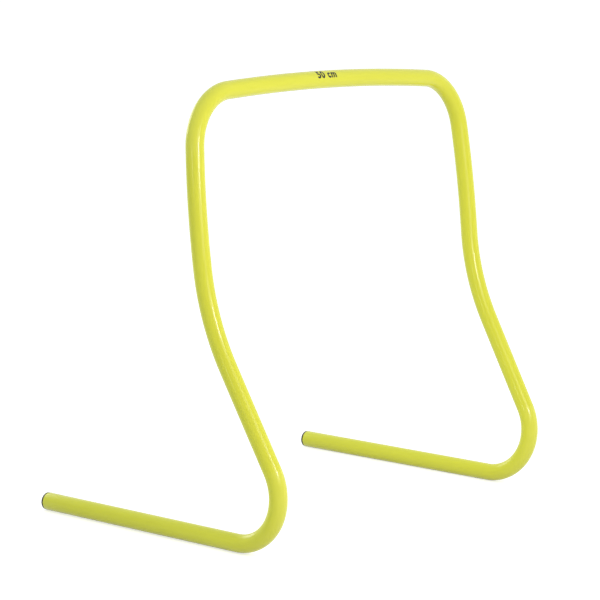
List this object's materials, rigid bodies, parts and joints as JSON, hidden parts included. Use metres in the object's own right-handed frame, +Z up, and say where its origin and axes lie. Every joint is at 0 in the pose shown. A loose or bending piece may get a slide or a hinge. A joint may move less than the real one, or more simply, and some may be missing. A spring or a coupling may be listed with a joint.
{
  "type": "speed hurdle",
  "caption": "Low training hurdle of one bent plastic tube: a leaning hoop with a bowed crossbar, long knees and round feet, with a push-in plug in each toe.",
  "frame": {"origin": "on the floor, at the centre of the underside of the bounding box, midway between the two feet", "axes": "+X along the crossbar, +Y from the heels towards the toes, +Z up; the hurdle is mirror-symmetric about the YZ plane"},
  "size_m": [0.5098, 0.35, 0.5],
  "materials": {
    "yellow_tube": "smooth fluorescent yellow extruded PVC, semi-gloss",
    "black_plug": "moulded black polyethylene, fine satin"
  },
  "bodies": {
    "root": {"hurdle_tube": "yellow_tube", "left_end_plug": "black_plug", "right_end_plug": "black_plug"}
  },
  "joints": []
}
